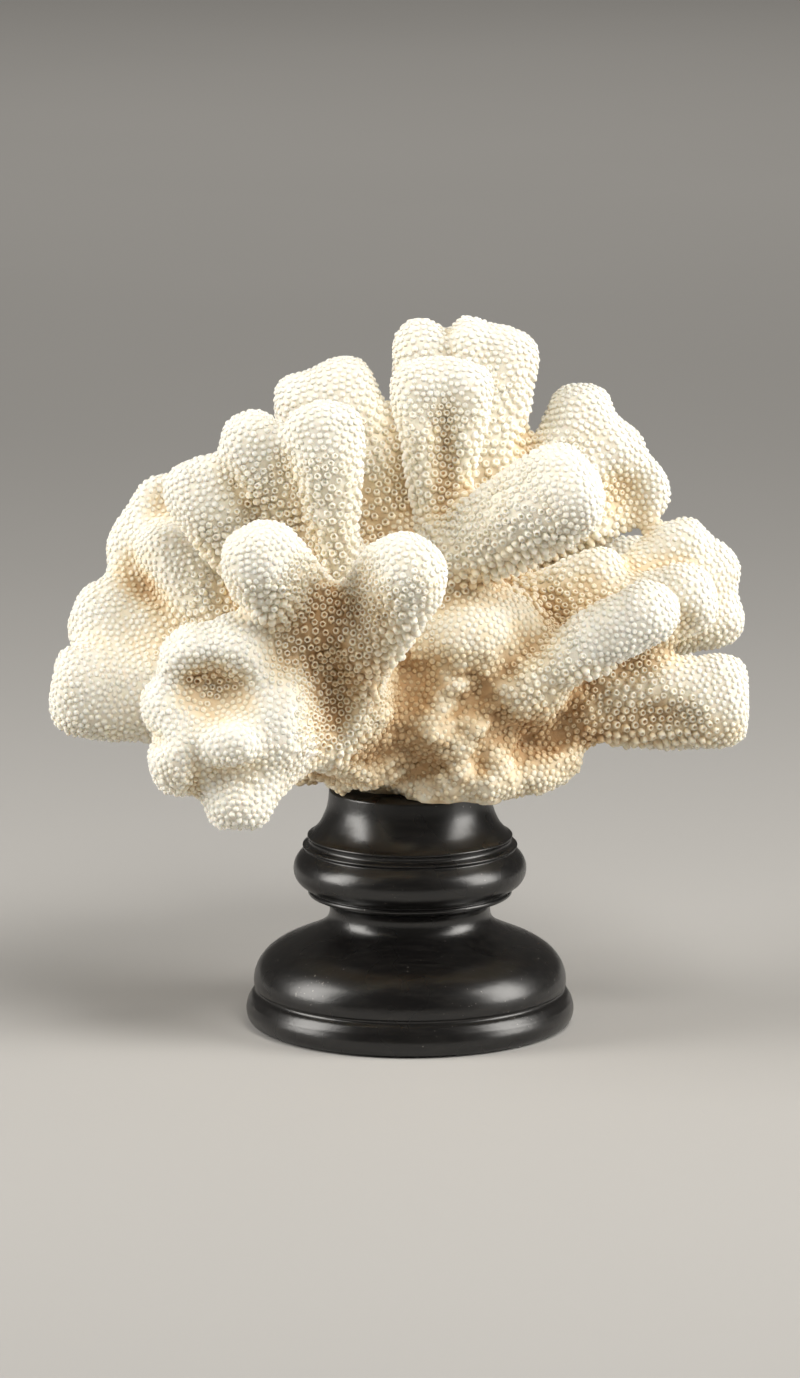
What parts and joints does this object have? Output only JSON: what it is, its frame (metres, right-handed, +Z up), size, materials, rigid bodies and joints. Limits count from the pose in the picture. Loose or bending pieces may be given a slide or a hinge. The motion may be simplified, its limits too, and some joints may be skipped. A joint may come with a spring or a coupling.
{
  "type": "mounted cats paw coral skeleton",
  "caption": "Fan of blunt, flattened coral fingers on a stubby trunk, standing on a black turned wood base.",
  "frame": {"origin": "centre of the turned base's flat underside", "axes": "+Z up the base's turning axis, -Y towards the viewer of the picture"},
  "size_m": [0.1538, 0.1222, 0.1561],
  "materials": {
    "coral_skeleton": "matte, porous, cream white",
    "ebonised_wood": "satin black"
  },
  "bodies": {
    "root": {"back_far_left_finger": "coral_skeleton", "back_far_right_finger": "coral_skeleton", "back_left_paddle": "coral_skeleton", "back_low_left_finger": "coral_skeleton", "back_low_right_finger": "coral_skeleton", "back_middle_paw": "coral_skeleton", "back_right_paddle": "coral_skeleton", "back_top_finger": "coral_skeleton", "back_upper_left_finger": "coral_skeleton", "back_upper_right_finger": "coral_skeleton", "base": "ebonised_wood", "crown_paddle": "coral_skeleton", "front_low_paw": "coral_skeleton", "front_paw_left": "coral_skeleton", "front_paw_right": "coral_skeleton", "left_bead_finger": "coral_skeleton", "left_low_paddle": "coral_skeleton", "left_mid_finger": "coral_skeleton", "left_upper_paddle": "coral_skeleton", "right_back_paddle": "coral_skeleton", "right_front_finger": "coral_skeleton", "right_front_low_finger": "coral_skeleton", "right_inner_finger": "coral_skeleton", "right_low_paddle": "coral_skeleton", "right_mid_finger": "coral_skeleton", "top_front_paw": "coral_skeleton", "trunk": "coral_skeleton", "upper_left_back_paddle": "coral_skeleton", "upper_left_long_finger": "coral_skeleton", "upper_left_short_finger": "coral_skeleton", "upper_right_paddle": "coral_skeleton"}
  },
  "joints": []
}
